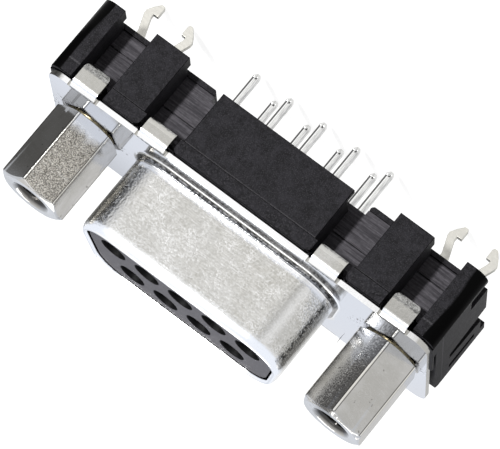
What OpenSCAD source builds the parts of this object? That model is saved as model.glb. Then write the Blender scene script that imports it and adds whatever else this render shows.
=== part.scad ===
// Nine-way D-sub socket for a circuit board, straight entry.
//
// Millimetres. The board's face is the plane Z = 0 and the plug comes down
// from +Z. X runs along the connector through the two screwlocks, and +Y is
// the side with the longer row of contacts. The origin lies on the board,
// midway between the screwlocks and midway between the contact rows.

/* [Contacts] */
// Distance between neighbouring contacts in a row
contact_pitch = 2.77; // [2.6:0.01:2.85]
// Distance between the two rows
row_spacing = 2.84; // [2.6:0.01:2.9]
// Outer diameter of the socket barrel
barrel_d = 1.64; // [1.5:0.01:1.7]
// Bore that takes the plug's pin
pin_bore_d = 1.04; // [0.9:0.01:1.1]
// Depth of that bore
pin_bore_depth = 5.6; // [4.5:0.1:6.5]
// Width of the slots between the two tines
tine_slot = 0.26; // [0.15:0.01:0.35]
// Length of the slots between the two tines
tine_length = 4.2; // [3:0.1:5.5]
// Diameter of the collar that holds the contact
collar_d = 2.1; // [1.9:0.05:2.2]
// Thickness of that collar
collar_t = 0.5; // [0.3:0.05:0.8]
// Diameter of the shank behind the collar
shank_d = 1.0; // [0.9:0.05:1.2]
// Width across the flats of the solder tail
tail_w = 0.52; // [0.4:0.01:0.6]
// How far the solder tail reaches through the board
tail_reach = 3.1; // [2.5:0.05:4.5]
// Width of the tail's tip
tail_tip_w = 0.3; // [0.2:0.01:0.4]
// Height of the tail's tapered tip
tail_tip_h = 0.33; // [0.2:0.01:0.6]
// Chamfer at the mouth of the socket barrel
barrel_chamfer = 0.15; // [0.05:0.01:0.25]
// Gap between the rolled edges of the tail's sheet
tail_seam = 0.06; // [0.04:0.01:0.1]
// How far the contacts stop below the insulator's face
contact_setback = 0.7; // [0.3:0.05:1]

/* [Drawn shell] */
// Thickness of the steel sheet
sheet = 0.38; // [0.3:0.01:0.45]
// Height of the flange's front face above the board
flange_top = 6.22; // [6:0.01:7]
// Height of the flange across the contact rows
flange_height = 12.1; // [12:0.05:12.5]
// Radius of the flange's corners
flange_corner_r = 1.2; // [0.5:0.05:1.8]
// Overall width of the D along X
nose_width = 16.33; // [16:0.01:16.6]
// Overall breadth of the D along Y
nose_breadth = 7.9; // [7.8:0.01:8.1]
// Radius of the D's four corners
nose_corner_r = 2.6; // [2.2:0.05:2.8]
// Lean of the D's two ends
nose_slope = 10; // [8:0.5:11]
// Height of the D above the flange
nose_height = 6.2; // [5.6:0.05:6.6]
// Radius of the bend at the foot of the D
root_r = 0.5; // [0.3:0.05:0.7]
// Outer radius of the D's edge, which leads the plug in
lead_r = 1.1; // [0.8:0.05:1.5]
// Angle through which that edge turns in
lead_angle = 32; // [20:1:40]
// Distance between the two screwlocks
screw_spacing = 24.99; // [24.9:0.01:25.1]

/* [Folded tabs] */
// How far a tab stands out past the flange's edge
tab_proud = 0.415; // [0.35:0.005:0.5]
// Radius inside the bend of a tab
tab_bend_r = 0.2; // [0.15:0.01:0.4]
// How far the tab near a screwlock stands outboard of it
outer_tab_offset = 0.155; // [0:0.005:0.3]
// Width of that tab
outer_tab_w = 1.98; // [1.6:0.01:2.1]
// Length of that tab behind the flange's front face
outer_tab_length = 2.05; // [1.8:0.01:2.4]
// Centre of the tab near the D
inner_tab_x = 6.99; // [6.8:0.01:7.1]
// Width of that tab
inner_tab_w = 2.13; // [1.8:0.01:2.3]
// Length of that tab behind the flange's front face
inner_tab_length = 1.63; // [1.5:0.01:2.1]
// Radius of the corners of the longer tab
tab_corner_r = 0.5; // [0.2:0.05:0.7]
// Radius inside the curl at the end of a tab
curl_r = 0.16; // [0.1:0.01:0.3]
// Angle through which the end of a tab is curled
curl_angle = 75; // [50:1:85]
// Width of the notch that frees a tab on each side
relief_w = 0.22; // [0.15:0.01:0.28]

/* [Housing] */
// How far the blocks stand out past the flange's edge
block_proud = 0.23; // [0.1:0.01:0.3]
// Distance from the middle plane to the floor of the recesses
recess_floor = 3.6; // [3.5:0.05:3.9]
// Gap between a tab and the blocks on each side of it
tab_gap = 0.32; // [0.29:0.01:0.4]
// How far a block's foot steps out beside the tab near the D
foot_step = 0.25; // [0.1:0.01:0.3]
// Height of the blocks' feet behind the flange
foot_h = 1.12; // [0.9:0.02:1.3]
// How far the feet stand out past the blocks
foot_proud = 0.04; // [0.02:0.01:0.08]
// Gap between the feet's outer edges and the flange
foot_gap = 0.1; // [0.05:0.01:0.15]
// How far that gap reaches in
foot_gap_depth = 0.4; // [0.2:0.05:0.8]
// Thickness of the pads on which the blocks stand
pad_t = 1.45; // [1.2:0.05:1.8]
// Height of those pads
pad_h = 0.35; // [0.2:0.05:0.5]
// Thickness of the middle block's free edge
middle_t = 0.6; // [0.4:0.05:1]
// Height of that free edge
middle_edge_h = 0.7; // [0.4:0.05:1]
// Radius of the blocks' corners at the flange
foot_r = 0.35; // [0.1:0.05:0.5]
// How far the middle block stands back from the board
middle_relief = 0.61; // [0.4:0.01:0.8]
// How far the housing's ends stand past the flange
end_proud = 0.15; // [0.05:0.01:0.3]
// Radius of the end posts' outer corners
post_r = 0.95; // [0.5:0.05:1.2]
// Thickness of the housing's end walls
end_wall = 1; // [0.9:0.05:1.2]
// Thickness of the rear wall that faces the board
rear_wall = 0.4; // [0.3:0.05:0.45]
// How far the rear wall stands back from the board
rear_standoff = 0.05; // [0.03:0.01:0.1]
// Distance from the last contact to the end of the opening for the solder tails
window_margin = 0.86; // [0.7:0.01:1]
// Width of the rim around the pocket at the flange
rim_w = 0.6; // [0.4:0.05:0.9]
// How far the rear wall stands out past the recess floors
rear_lip = 0.12; // [0.05:0.01:0.3]
// Chamfer at the ends of the opening for the solder tails
window_chamfer = 0.15; // [0.05:0.01:0.25]

/* [Housing ends] */
// Reach of the end walls towards the short row's side
end_low = 4.9; // [4.7:0.05:5.2]
// How far the end posts on that side stand back
low_post_step = 1.15; // [0.8:0.05:1.4]
// Depth of the slot in the end post
end_slot_depth = 0.6; // [0.3:0.05:0.7]
// Height of the slot in the end post
post_slot_top = 1.75; // [1.2:0.05:2.2]
// Height of the slots beside the latch finger
latch_top = 3.85; // [3.4:0.05:4.2]
// Width of the latch finger
latch_w = 1.15; // [0.9:0.05:1.4]
// Width of the narrow slot beside the latch finger
latch_slit = 0.55; // [0.3:0.05:0.7]
// Distance of the latch finger's tip from the board
latch_tip = 0.5; // [0.3:0.05:0.8]
// Height at which the narrow slot begins
latch_slit_low = 1.2; // [0.8:0.1:1.6]
// Depth of the groove under the flange
end_groove_depth = 0.85; // [0.5:0.05:0.9]
// Width of the groove under the flange
end_groove_w = 0.25; // [0.15:0.01:0.4]
// Thickness of the lip between that groove and the flange
end_groove_lip = 0.19; // [0.1:0.01:0.3]
// Radius of the end wall's far corner
end_corner_r = 0.5; // [0.3:0.05:0.8]

/* [Insulators] */
// How far the insulator's face lies below the lip of the D
face_setback = 0.22; // [0.1:0.01:0.5]
// Width of the groove along the joint between the insulators
seam_groove = 0.08; // [0.05:0.01:0.12]
// Depth of that groove
seam_depth = 0.15; // [0.08:0.01:0.25]
// How far the rear insulator's boss stands back behind the middle block
boss_step = 0.2; // [0.1:0.02:0.3]
// Gap between the insulator and the inside of the D
nose_gap = 0.27; // [0.2:0.01:0.35]
// Height of the joint between the insulators beside the contacts
middle_seam = 2.95; // [2.8:0.05:3.3]
// Height of that joint behind the screwlocks
outer_seam = 1.78; // [1.6:0.02:1.9]
// Distance from the insert's rear end to the step in that joint
seam_gap = 0.985; // [0.7:0.005:1.2]
// Diameter of the holes' mouths
mouth_d = 2; // [1.9:0.05:2.2]
// Depth of the holes' mouths
mouth_depth = 0.4; // [0.2:0.05:0.8]

/* [Screwlocks] */
// Width across the flats of the hexagon
hex_af = 4.5; // [4.2:0.05:4.76]
// Length of the hexagon
hex_length = 6.12; // [5:0.02:6.5]
// Turn of the left hexagon
left_turn = 41; // [0:1:60]
// Turn of the right hexagon
right_turn = 28; // [0:1:60]
// Radius of the turned flat on each end of the hexagon
hex_flat_r = 2.15; // [2:0.05:2.3]
// Height of the turned chamfer on the hexagon's end at the shell
hex_base_chamfer_h = 0.1; // [0.05:0.01:0.3]
// Height of the turned chamfer on the hexagon's free end
hex_chamfer_h = 0.24; // [0.1:0.01:0.4]
// Radius of the tapped hole, over the crests of its thread
tapped_r = 1.15; // [1.05:0.01:1.2]
// Depth of the tapped hole
tapped_depth = 5; // [4:0.1:5.3]
// Radius of the countersink at the tapped hole
countersink_r = 1.5; // [1.35:0.05:1.7]
// Diameter of the stud
stud_d = 2.84; // [2.7:0.01:2.9]
// Length of the stud behind the hexagon
stud_length = 3.6; // [3:0.1:3.8]

/* [Inserts] */
// Clearance of the stud in the insert
insert_play = 0.03; // [0.02:0.005:0.06]
// Wall of the threaded insert
insert_wall = 0.34; // [0.25:0.01:0.4]
// Thickness of the insert's head between shell and screwlock
insert_head_t = 0.08; // [0.05:0.01:0.3]
// How far the head reaches past the barrel
insert_head_lip = 0.2; // [0.15:0.01:0.4]
// How far the clinched rear end reaches past the barrel
clinch_lip = 0.12; // [0.08:0.01:0.15]
// Height of the clinched rear end
clinch_h = 0.4; // [0.2:0.05:0.6]
// Overall length of the insert below its head
insert_length = 3.6; // [3.4:0.05:3.8]

/* [Boardlocks] */
// How far a boardlock stands outboard of its screwlock
lock_offset = 0.2; // [0:0.02:0.22]
// Thickness of the boardlock's sheet
lock_t = 0.45; // [0.3:0.05:0.5]
// Width of a prong
prong_w = 0.6; // [0.45:0.05:0.7]
// Gap between the prongs at the board
prong_gap = 1.8; // [1.4:0.05:2]
// How far the prongs reach through the board
lock_reach = 3.4; // [2.8:0.05:4]
// Width across the barbs
barb_span = 3.9; // [3.5:0.05:4.2]
// Depth of the barbs' elbow below the board
elbow_depth = 2.25; // [1.8:0.05:2.6]
// Height of the bend in a prong above its elbow
elbow_rise = 1.2; // [0.8:0.05:1.4]
// Depth of the hook's inner edge below the elbow
lock_hook_gap = 0.28; // [0.15:0.01:0.4]
// Width of a barb behind its hook
lock_hook_w = 0.95; // [0.75:0.05:1.1]
// Width of a barb's tip
lock_tip_w = 0.32; // [0.2:0.02:0.45]
// Clearance between the shoulders and the end of the pocket
lock_end_gap = 0.155; // [0.1:0.005:0.3]
// How far the shoulders reach past the prongs
lock_shoulder = 0.3; // [0.2:0.05:0.35]

/* [Hidden] */
$fn = 64;
// clearance between pieces that slide together at assembly
fit = 0.05;
// reach of a cut past the face it opens
eps = 0.1;

LONG_ROW = 5;
SHORT_ROW = 4;

// places along Y in the end faces: the wide slot's edges at the board and at
// its far end, the post's slot, the lip's end and the groove's end
wide_slot_low = [-2, -0.3];
wide_slot_top = [-1.5, -0.85];
post_slot = [3.7, 5.15];
lip_end = 0.6;
groove_end = 3.4;

// heights
flange_back = flange_top - sheet;
lip_z = flange_top + nose_height;
face_z = lip_z - face_setback;
contact_front_z = face_z - contact_setback;
rear_face_z = rear_standoff + rear_wall;
foot_z = flange_back - foot_h;
insert_rear_z = flange_top - insert_length;
hex_base_z = flange_top + insert_head_t;

// radii of the insert
insert_bore_r = stud_d / 2 + insert_play;
insert_r = insert_bore_r + insert_wall;
clinch_r = insert_r + clinch_lip;

// lengths along X, from the screwlocks out to the ends
screw_x = screw_spacing / 2;
lock_x = screw_x + lock_offset;
shoulder_half = prong_gap / 2 + prong_w + lock_shoulder;
pocket_x = lock_x + shoulder_half + lock_end_gap;
end_x = pocket_x + end_wall;
flange_length = 2 * (end_x - end_proud);

// lengths along X, between the screwlocks
outer_tab_x = screw_x + outer_tab_offset;
outer_recess = [outer_tab_x - outer_tab_w / 2 - tab_gap, outer_tab_x + outer_tab_w / 2 + tab_gap];
inner_recess = [inner_tab_x - inner_tab_w / 2 - tab_gap, inner_tab_x + inner_tab_w / 2 + tab_gap];
seam_step_x = screw_x - clinch_r - seam_gap;
rear_window = (LONG_ROW - 1) / 2 * contact_pitch + window_margin;

// distances across, along Y
block_face = flange_height / 2 + block_proud;
tab_face = flange_height / 2 + tab_proud;
pocket_y = recess_floor + fit;
rim_y = pocket_y + rim_w;
tab_inside = tab_face - sheet;
bend_y = tab_face - tab_bend_r - sheet;

// holes in the insulators
contact_hole_d = barrel_d + 4 * fit;
tail_hole_d = tail_w * sqrt(2);

// rear face of the insulator's boss, and of the contacts' shanks above it
boss_z = middle_relief + boss_step;
shank_hole_z = boss_z + 0.8;

steel = "gainsboro";
black = "#2b2a2d";
dark_grey = "#4a494d";
tin = "lightgrey";
brass = "#c8b27a";

// ---------------------------------------------------------------- outlines

// Corners of the D, clockwise from the upper left.
function d_centre(i) =
    let (cy = nose_breadth / 2 - nose_corner_r)
    let (wide = nose_width / 2 - nose_corner_r)
    let (narrow = wide - 2 * cy * tan(nose_slope))
    [[-wide, cy], [wide, cy], [narrow, -cy], [-narrow, -cy]][i];

// Outward direction of the D's four sides, clockwise from the upper one.
function d_normal(i) = [90, -nose_slope, -90, nose_slope - 180][i];

// Angle that the D turns through at each corner.
function d_turn(i) = i < 2 ? 90 + nose_slope : 90 - nose_slope;

function polar(r, angle) = [r * cos(angle), r * sin(angle)];

// The D's outline, grown by an even margin.
module d_outline(grow) {
    r = nose_corner_r + grow;
    polygon([for (i = [0:3]) each [
        d_centre(i) + polar(r, d_normal((i + 3) % 4)),
        d_centre(i) + polar(r, d_normal(i))]]);
    for (i = [0:3]) translate(d_centre(i)) circle(r);
}

// Sweeps a profile of (distance outside the D, height) round the D.
module d_sweep() {
    for (i = [0:3]) {
        side = norm(d_centre((i + 1) % 4) - d_centre(i));
        translate(d_centre(i)) rotate([0, 0, d_normal(i)]) {
            rotate([90, 0, 0]) linear_extrude(side) translate([nose_corner_r, 0]) children();
            rotate_extrude(angle = d_turn(i)) translate([nose_corner_r, 0]) children();
        }
    }
}

// A rectangle from one corner to the other with its own radius at each corner,
// counted anticlockwise from the lower left.
module soft_rect(low, high, radii) {
    size = high - low;
    corners = [low, [high.x, low.y], high, [low.x, high.y]];
    inward = [[1, 1], [-1, 1], [-1, -1], [1, -1]];
    difference() {
        translate(low) square(size);
        for (i = [0:3]) if (radii[i] > 0) {
            difference() {
                translate(corners[i] + inward[i] * (radii[i] / 2 - eps / 2)) square(radii[i] + eps, center = true);
                translate(corners[i] + inward[i] * radii[i]) circle(radii[i]);
            }
        }
    }
}

// Extrudes an outline drawn in X and Z from one Y to another.
module along_y(from, to) {
    translate([0, to, 0]) rotate([90, 0, 0]) linear_extrude(to - from) children();
}

// Extrudes an outline drawn in Y and Z from one X to another.
module along_x(from, to) {
    translate([from, 0, 0]) rotate([90, 0, 90]) linear_extrude(to - from) children();
}

// A box between two corners.
module block(low, high) {
    translate(low) cube(high - low);
}

// Repeats its children on both sides of the middle, along X.
module both_ends() {
    for (side = [0, 1]) mirror([side, 0, 0]) children();
}

// Repeats its children at both ends and on both sides.
module four_times() {
    for (side = [0, 1]) mirror([0, side, 0]) both_ends() children();
}

// Part of a ring between two angles, less than a half turn apart.
module ring_part(inner, outer, from, to) {
    reach = 2 * outer;
    intersection() {
        difference() {
            circle(outer);
            circle(inner);
        }
        polygon([[0, 0], polar(reach, from), polar(reach, (from + to) / 2), polar(reach, to)]);
    }
}

// ------------------------------------------------------------------- shell

// Section of the D's wall: the bend at its foot, the wall and the edge that
// turns in and ends in a rounded lip.
module nose_section() {
    lip_r = sheet / 2;
    lead_z = lip_z - (lead_r - lip_r) * sin(lead_angle) - lip_r;
    translate([root_r, flange_top + root_r]) ring_part(root_r, root_r + sheet, 180, 270);
    translate([-sheet, flange_top + root_r]) square([sheet, lead_z - flange_top - root_r]);
    translate([-0.75 * sheet, lead_z - eps]) square([sheet / 2, 2 * eps]);
    translate([-lead_r, lead_z]) {
        ring_part(lead_r - sheet, lead_r, 0, lead_angle);
        translate(polar(lead_r - lip_r, lead_angle)) circle(lip_r);
    }
}

// Section of a tab: off the flange, round the bend, back along the housing and
// curled in behind its ledge.
module tab_section(length) {
    curl_outer = curl_r + sheet;
    curl_z = flange_top - length + curl_outer * sin(curl_angle);
    bend_z = flange_back - tab_bend_r;
    translate([bend_y - sheet, flange_back]) square([sheet, sheet]);
    translate([bend_y, bend_z]) ring_part(tab_bend_r, tab_bend_r + sheet, 0, 90);
    translate([tab_inside, curl_z]) square([sheet, bend_z - curl_z]);
    translate([tab_inside - curl_r, curl_z]) ring_part(curl_r, curl_outer, -curl_angle, 0);
}

// A tab on the +Y edge, with its free corners rounded.
module tab(x, width, length, corner_r) {
    intersection() {
        along_x(x - width / 2, x + width / 2) tab_section(length);
        along_y(0, tab_face + eps)
            soft_rect([x - width / 2, flange_top - length], [x + width / 2, flange_top],
                [corner_r, corner_r, 0, 0]);
    }
}

// The notch that frees a tab from the flange's edge.
module tab_notch(x, width) {
    block([x - width / 2 - relief_w, bend_y, flange_back - eps],
        [x + width / 2 + relief_w, tab_face, flange_top + eps]);
}

module shell() {
    color(steel) {
        difference() {
            translate([0, 0, flange_back]) linear_extrude(sheet)
                soft_rect([-flange_length, -flange_height] / 2, [flange_length, flange_height] / 2,
                    [for (i = [0:3]) flange_corner_r]);
            translate([0, 0, flange_back - eps]) linear_extrude(sheet + 2 * eps) d_outline(root_r);
            both_ends() translate([screw_x, 0, flange_back - eps])
                cylinder(r = insert_r + fit, h = sheet + 2 * eps);
            four_times() {
                tab_notch(outer_tab_x, outer_tab_w);
                tab_notch(inner_tab_x, inner_tab_w);
            }
        }
        d_sweep() nose_section();
        four_times() {
            tab(outer_tab_x, outer_tab_w, outer_tab_length, tab_corner_r);
            tab(inner_tab_x, inner_tab_w, inner_tab_length, 0);
        }
    }
}

// ----------------------------------------------------------------- housing

// Ledge that a tab is folded round, narrower than the tab and stepped to pass
// inside its bend.
module tab_ledge(x, width, length) {
    half = width / 2 - 2 * fit;
    ledge_z = flange_top - length + (curl_r + sheet) * sin(curl_angle) + fit;
    block([x - half, pocket_y, ledge_z], [x + half, tab_inside - fit, flange_back - tab_bend_r]);
    block([x - half, pocket_y, ledge_z], [x + half, bend_y, flange_back]);
}

// A block with its foot, between two places along X. The steps are how far
// the foot stands out on each side of it.
module footed_block(low_x, high_x, steps, from_z, back_z, front_y) {
    near_y = block_face - front_y;
    along_y(near_y, block_face)
        soft_rect([low_x, from_z], [high_x, flange_back - foot_gap], [0, 0, 0, 0]);
    along_y(pocket_y, near_y + eps)
        soft_rect([low_x, back_z], [high_x, flange_back - foot_gap], [0, 0, 0, 0]);
    along_y(pocket_y, block_face + foot_proud)
        soft_rect([low_x - steps[0], foot_z], [high_x + steps[1], flange_back - foot_gap],
            [0, 0, steps[1] > 0 ? foot_r : 0, steps[0] > 0 ? foot_r : 0]);
    along_y(pocket_y, block_face - foot_gap_depth)
        soft_rect([low_x - steps[0], foot_z], [high_x + steps[1], flange_back], [0, 0, 0, 0]);
}

// The blocks on one side of the pocket, drawn on the +Y side.
module side_blocks(post_end) {
    middle = inner_recess[0] - foot_step;
    pad_y = block_face - pad_t;
    footed_block(-middle, middle, [foot_step, foot_step], middle_relief, middle_relief + middle_edge_h,
        middle_t);
    both_ends() {
        footed_block(inner_recess[1] + foot_step, outer_recess[0], [foot_step, 0], 0, pad_h, pad_t);
        linear_extrude(flange_back - foot_gap)
            soft_rect([outer_recess[1], pad_y], [post_end, block_face], [0, 0, post_r, 0]);
        translate([0, 0, pad_h]) linear_extrude(flange_back - pad_h)
            soft_rect([outer_recess[1], pocket_y], [post_end, block_face - foot_gap_depth],
                [0, 0, post_r, 0]);
        tab_ledge(outer_tab_x, outer_tab_w, outer_tab_length);
        tab_ledge(inner_tab_x, inner_tab_w, inner_tab_length);
    }
}

// One end wall with its latch finger, slots and groove, at +X.
module end_block() {
    end_high = block_face - post_r;
    outside = end_x + eps;
    inside = pocket_x - 2 * eps;
    groove_top = flange_back - end_groove_lip;
    wall_top = groove_top - end_groove_w;
    slit_y = wide_slot_low[0] - latch_w;
    difference() {
        union() {
            along_x(pocket_x - eps, end_x)
                soft_rect([-end_low, 0], [end_high, wall_top], [0, 0, 0, end_corner_r]);
            block([pocket_x - eps, -end_low + end_corner_r, foot_z], [end_x - end_groove_depth, end_high, flange_back]);
            block([pocket_x - eps, groove_end, foot_z], [end_x, end_high, flange_back]);
            block([pocket_x - eps, lip_end, groove_top], [end_x, end_high, flange_back]);
        }
        // the wide slot, which narrows away from the board
        along_x(inside, outside) polygon([[wide_slot_low[0], -eps], [wide_slot_low[1], -eps],
            [wide_slot_top[1], latch_top], [wide_slot_top[0], latch_top]]);
        // the finger's free end and the narrow slot behind it
        block([inside, slit_y - latch_slit, -eps], [outside, wide_slot_low[0] + eps, latch_tip]);
        block([inside, slit_y - latch_slit, latch_slit_low], [outside, slit_y, latch_top]);
    }
}

module housing() {
    color(black) {
        difference() {
            union() {
                block([-pocket_x - eps, -recess_floor - rear_lip, rear_standoff],
                    [pocket_x + eps, recess_floor + rear_lip, rear_face_z]);
                block([-pocket_x - eps, -rim_y, foot_z], [pocket_x + eps, rim_y, flange_back]);
                both_ends() end_block();
                side_blocks(end_x);
                mirror([0, 1, 0]) side_blocks(end_x - low_post_step);
            }
            // pocket for the insulators
            block([-pocket_x, -pocket_y, rear_face_z], [pocket_x, pocket_y, flange_back + eps]);
            // opening for the solder tails, chamfered at its ends
            along_y(-pocket_y - rear_lip, pocket_y + rear_lip) {
                half = rear_window + window_chamfer;
                polygon([[-half, -eps], [half, -eps], [half, rear_standoff],
                    [rear_window, rear_standoff + window_chamfer], [rear_window, rear_face_z + eps],
                    [-rear_window, rear_face_z + eps], [-rear_window, rear_standoff + window_chamfer],
                    [-half, rear_standoff]]);
            }
            both_ends() {
                lock_slot(shoulder_half - lock_shoulder + 2 * fit, -eps, rear_face_z + eps);
                // slot in the end post
                block([end_x - end_slot_depth, post_slot[0], -eps], [end_x + eps, post_slot[1], post_slot_top]);
            }
        }
    }
}

// -------------------------------------------------------------- insulators

function row_x(i, count) = (i - (count - 1) / 2) * contact_pitch;

// Place of each contact: 1 to 5 in the long row, 6 to 9 in the short one.
function contact_at(n) = n <= LONG_ROW
    ? [-row_x(n - 1, LONG_ROW), row_spacing / 2]
    : [-row_x(n - 1 - LONG_ROW, SHORT_ROW), -row_spacing / 2];

module at_contacts() {
    for (n = [1:LONG_ROW + SHORT_ROW]) translate(contact_at(n)) children();
}

// Slot for a boardlock at the +X screwlock.
module lock_slot(half_width, from, to) {
    block([lock_x - half_width, -lock_t / 2 - fit, from], [lock_x + half_width, lock_t / 2 + fit, to]);
}

module front_insulator() {
    half_x = pocket_x - fit;
    color(dark_grey) difference() {
        union() {
            block([-half_x, -recess_floor, outer_seam], [half_x, recess_floor, flange_back]);
            translate([0, 0, flange_back - eps]) linear_extrude(face_z - flange_back + eps)
                d_outline(-sheet - nose_gap);
        }
        block([-seam_step_x, -recess_floor - eps, outer_seam - eps],
            [seam_step_x, recess_floor + eps, middle_seam]);
        for (side = [0, 1]) mirror([0, side, 0]) {
            block([-half_x - eps, recess_floor - seam_depth, outer_seam - eps],
                [half_x + eps, recess_floor + eps, outer_seam + seam_groove]);
            block([-seam_step_x - eps, recess_floor - seam_depth, middle_seam - eps],
                [seam_step_x + eps, recess_floor + eps, middle_seam + seam_groove]);
        }
        at_contacts() {
            translate([0, 0, middle_seam - eps]) cylinder(d = contact_hole_d, h = face_z - middle_seam + 2 * eps);
            translate([0, 0, middle_seam - eps]) cylinder(d = collar_d + 2 * fit, h = collar_t + eps + fit);
            translate([0, 0, face_z - mouth_depth]) cylinder(d = mouth_d, h = mouth_depth + eps);
        }
        both_ends() translate([screw_x, 0, outer_seam - eps]) {
            clear_r = clinch_r + fit;
            clear_h = insert_rear_z + clinch_h + fit - outer_seam + eps;
            cylinder(r = insert_r + fit, h = flange_back - outer_seam + 2 * eps);
            cylinder(r = clear_r, h = clear_h);
            translate([0, -clear_r, 0]) cube([half_x, 2 * clear_r, clear_h]);
        }
    }
}

module rear_insulator() {
    half_x = pocket_x - fit;
    boss_x = rear_window - fit;
    color(dark_grey) difference() {
        union() {
            block([-half_x, -recess_floor, rear_face_z], [half_x, recess_floor, outer_seam]);
            block([-seam_step_x + fit, -recess_floor, outer_seam - eps],
                [seam_step_x - fit, recess_floor, middle_seam]);
        }
        // the boss that shows in the rear wall's opening stands back from the board
        block([-boss_x, -recess_floor - eps, 0], [boss_x, recess_floor + eps, boss_z]);
        at_contacts() {
            translate([0, 0, boss_z - eps]) cylinder(d = tail_hole_d, h = middle_seam);
            translate([0, 0, shank_hole_z]) cylinder(d = shank_d + 2 * fit, h = middle_seam);
        }
        both_ends() lock_slot(shoulder_half + fit, 0, outer_seam + eps);
    }
}

// ---------------------------------------------------------------- contacts

// The tail: a folded strip with softened edges, a seam on one side and a
// bullet tip.
module tail(top) {
    length = top + tail_reach;
    difference() {
        translate([0, 0, -tail_reach]) intersection() {
            linear_extrude(length)
                soft_rect([-tail_w, -tail_w] / 2, [tail_w, tail_w] / 2, [for (i = [0:3]) tail_w / 5]);
            rotate_extrude() polygon([[0, 0], [tail_tip_w / 2, 0], [tail_hole_d / 2, tail_tip_h],
                [tail_hole_d / 2, length], [0, length]]);
        }
        block([-tail_seam / 2, tail_w / 4, -tail_reach - eps], [tail_seam / 2, tail_w, top - eps]);
    }
}

// Half section of the socket barrel: chamfered outside, countersunk inside.
module barrel_section() {
    low = middle_seam + collar_t;
    outer = barrel_d / 2;
    inner = pin_bore_d / 2;
    chamfer_z = contact_front_z - barrel_chamfer;
    polygon([[0, low - eps], [outer, low - eps], [outer, chamfer_z],
        [outer - barrel_chamfer / 2, contact_front_z], [inner + barrel_chamfer / 2, contact_front_z],
        [inner, chamfer_z], [inner, contact_front_z - pin_bore_depth],
        [0, contact_front_z - pin_bore_depth]]);
}

module contact(n) {
    shank_z = shank_hole_z + fit;
    color(tin) translate(contact_at(n)) {
        tail(shank_z + eps);
        translate([0, 0, shank_z]) cylinder(d = shank_d, h = middle_seam - shank_z);
        translate([0, 0, middle_seam]) cylinder(d = collar_d, h = collar_t);
        difference() {
            rotate_extrude() barrel_section();
            block([-barrel_d, -tine_slot / 2, contact_front_z - tine_length],
                [barrel_d, tine_slot / 2, contact_front_z + eps]);
        }
    }
}

// --------------------------------------------------- inserts and boardlocks

// Threaded insert clinched through the shell and the front insulator.
module insert() {
    translate([screw_x, 0, 0]) difference() {
        union() {
            translate([0, 0, insert_rear_z]) cylinder(r = insert_r, h = insert_length);
            translate([0, 0, insert_rear_z]) cylinder(r = clinch_r, h = clinch_h);
            translate([0, 0, flange_top]) cylinder(r = insert_r + insert_head_lip, h = insert_head_t);
        }
        translate([0, 0, insert_rear_z - eps]) cylinder(r = insert_bore_r, h = insert_length + insert_head_t + 2 * eps);
    }
}

// A forked spring of flat sheet that snaps into the board: one half of its
// outline, from the crotch out round the barb and up over the shoulder.
function lock_half() =
    let (inside = prong_gap / 2)
    let (outside = inside + prong_w)
    let (barb = barb_span / 2)
    let (seat = rear_face_z + fit)
    let (top = insert_rear_z - fit)
    let (bend = -elbow_depth + elbow_rise)
    let (hook = -elbow_depth - lock_hook_gap)
    [[inside, (seat + top) / 2], [inside, bend], [barb - prong_w, -elbow_depth],
        [barb - prong_w, hook], [barb - lock_hook_w, hook], [barb - lock_hook_w, -lock_reach + lock_tip_w / 2],
        [barb - lock_hook_w + lock_tip_w / 4, -lock_reach], [barb - lock_hook_w + lock_tip_w, -lock_reach],
        [barb - (barb - inside) / 4, (hook - lock_reach) / 2], [barb, hook], [barb, -elbow_depth],
        [outside, bend], [outside, seat], [shoulder_half, seat], [shoulder_half, top]];

module boardlock() {
    half = lock_half();
    last = len(half) - 1;
    translate([lock_x, 0, 0]) along_y(-lock_t / 2, lock_t / 2)
        polygon([each half, for (i = [last:-1:0]) [-half[i].x, half[i].y]]);
}

// -------------------------------------------------------------- screwlocks

// The turned outline that cuts both ends of the hexagon to a chamfer.
module hex_turning() {
    corner_r = hex_af / 2 / cos(30);
    clear_r = 2 * corner_r - hex_flat_r;
    hex_top = hex_base_z + hex_length;
    rotate_extrude() polygon([[0, hex_base_z], [hex_flat_r, hex_base_z],
        [clear_r, hex_base_z + 2 * hex_base_chamfer_h], [clear_r, hex_top - 2 * hex_chamfer_h],
        [hex_flat_r, hex_top], [0, hex_top]]);
}

// The tapped hole with its drill point and countersink.
module tapped_hole() {
    hex_top = hex_base_z + hex_length;
    floor_z = hex_top - tapped_depth;
    rotate_extrude() polygon([[0, floor_z - tapped_r / 2], [tapped_r, floor_z],
        [tapped_r, hex_top - (countersink_r - tapped_r)], [countersink_r + eps, hex_top + eps],
        [0, hex_top + eps]]);
}

module screwlock(turn) {
    difference() {
        union() {
            intersection() {
                translate([0, 0, hex_base_z]) rotate([0, 0, turn])
                    cylinder(r = hex_af / 2 / cos(30), h = hex_length, $fn = 6);
                hex_turning();
            }
            translate([0, 0, hex_base_z - stud_length]) cylinder(d = stud_d, h = stud_length + eps);
        }
        tapped_hole();
    }
}

shell();
housing();
front_insulator();
rear_insulator();
contact(1);  // contact_1
contact(2);  // contact_2
contact(3);  // contact_3
contact(4);  // contact_4
contact(5);  // contact_5
contact(6);  // contact_6
contact(7);  // contact_7
contact(8);  // contact_8
contact(9);  // contact_9
color(brass) mirror([1, 0, 0]) insert();  // insert_left
color(brass) insert();  // insert_right
color(tin) mirror([1, 0, 0]) boardlock();  // boardlock_left
color(tin) boardlock();  // boardlock_right
color(steel) translate([-screw_x, 0, 0]) screwlock(left_turn);  // screwlock_left
color(steel) translate([screw_x, 0, 0]) screwlock(right_turn);  // screwlock_right
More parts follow.
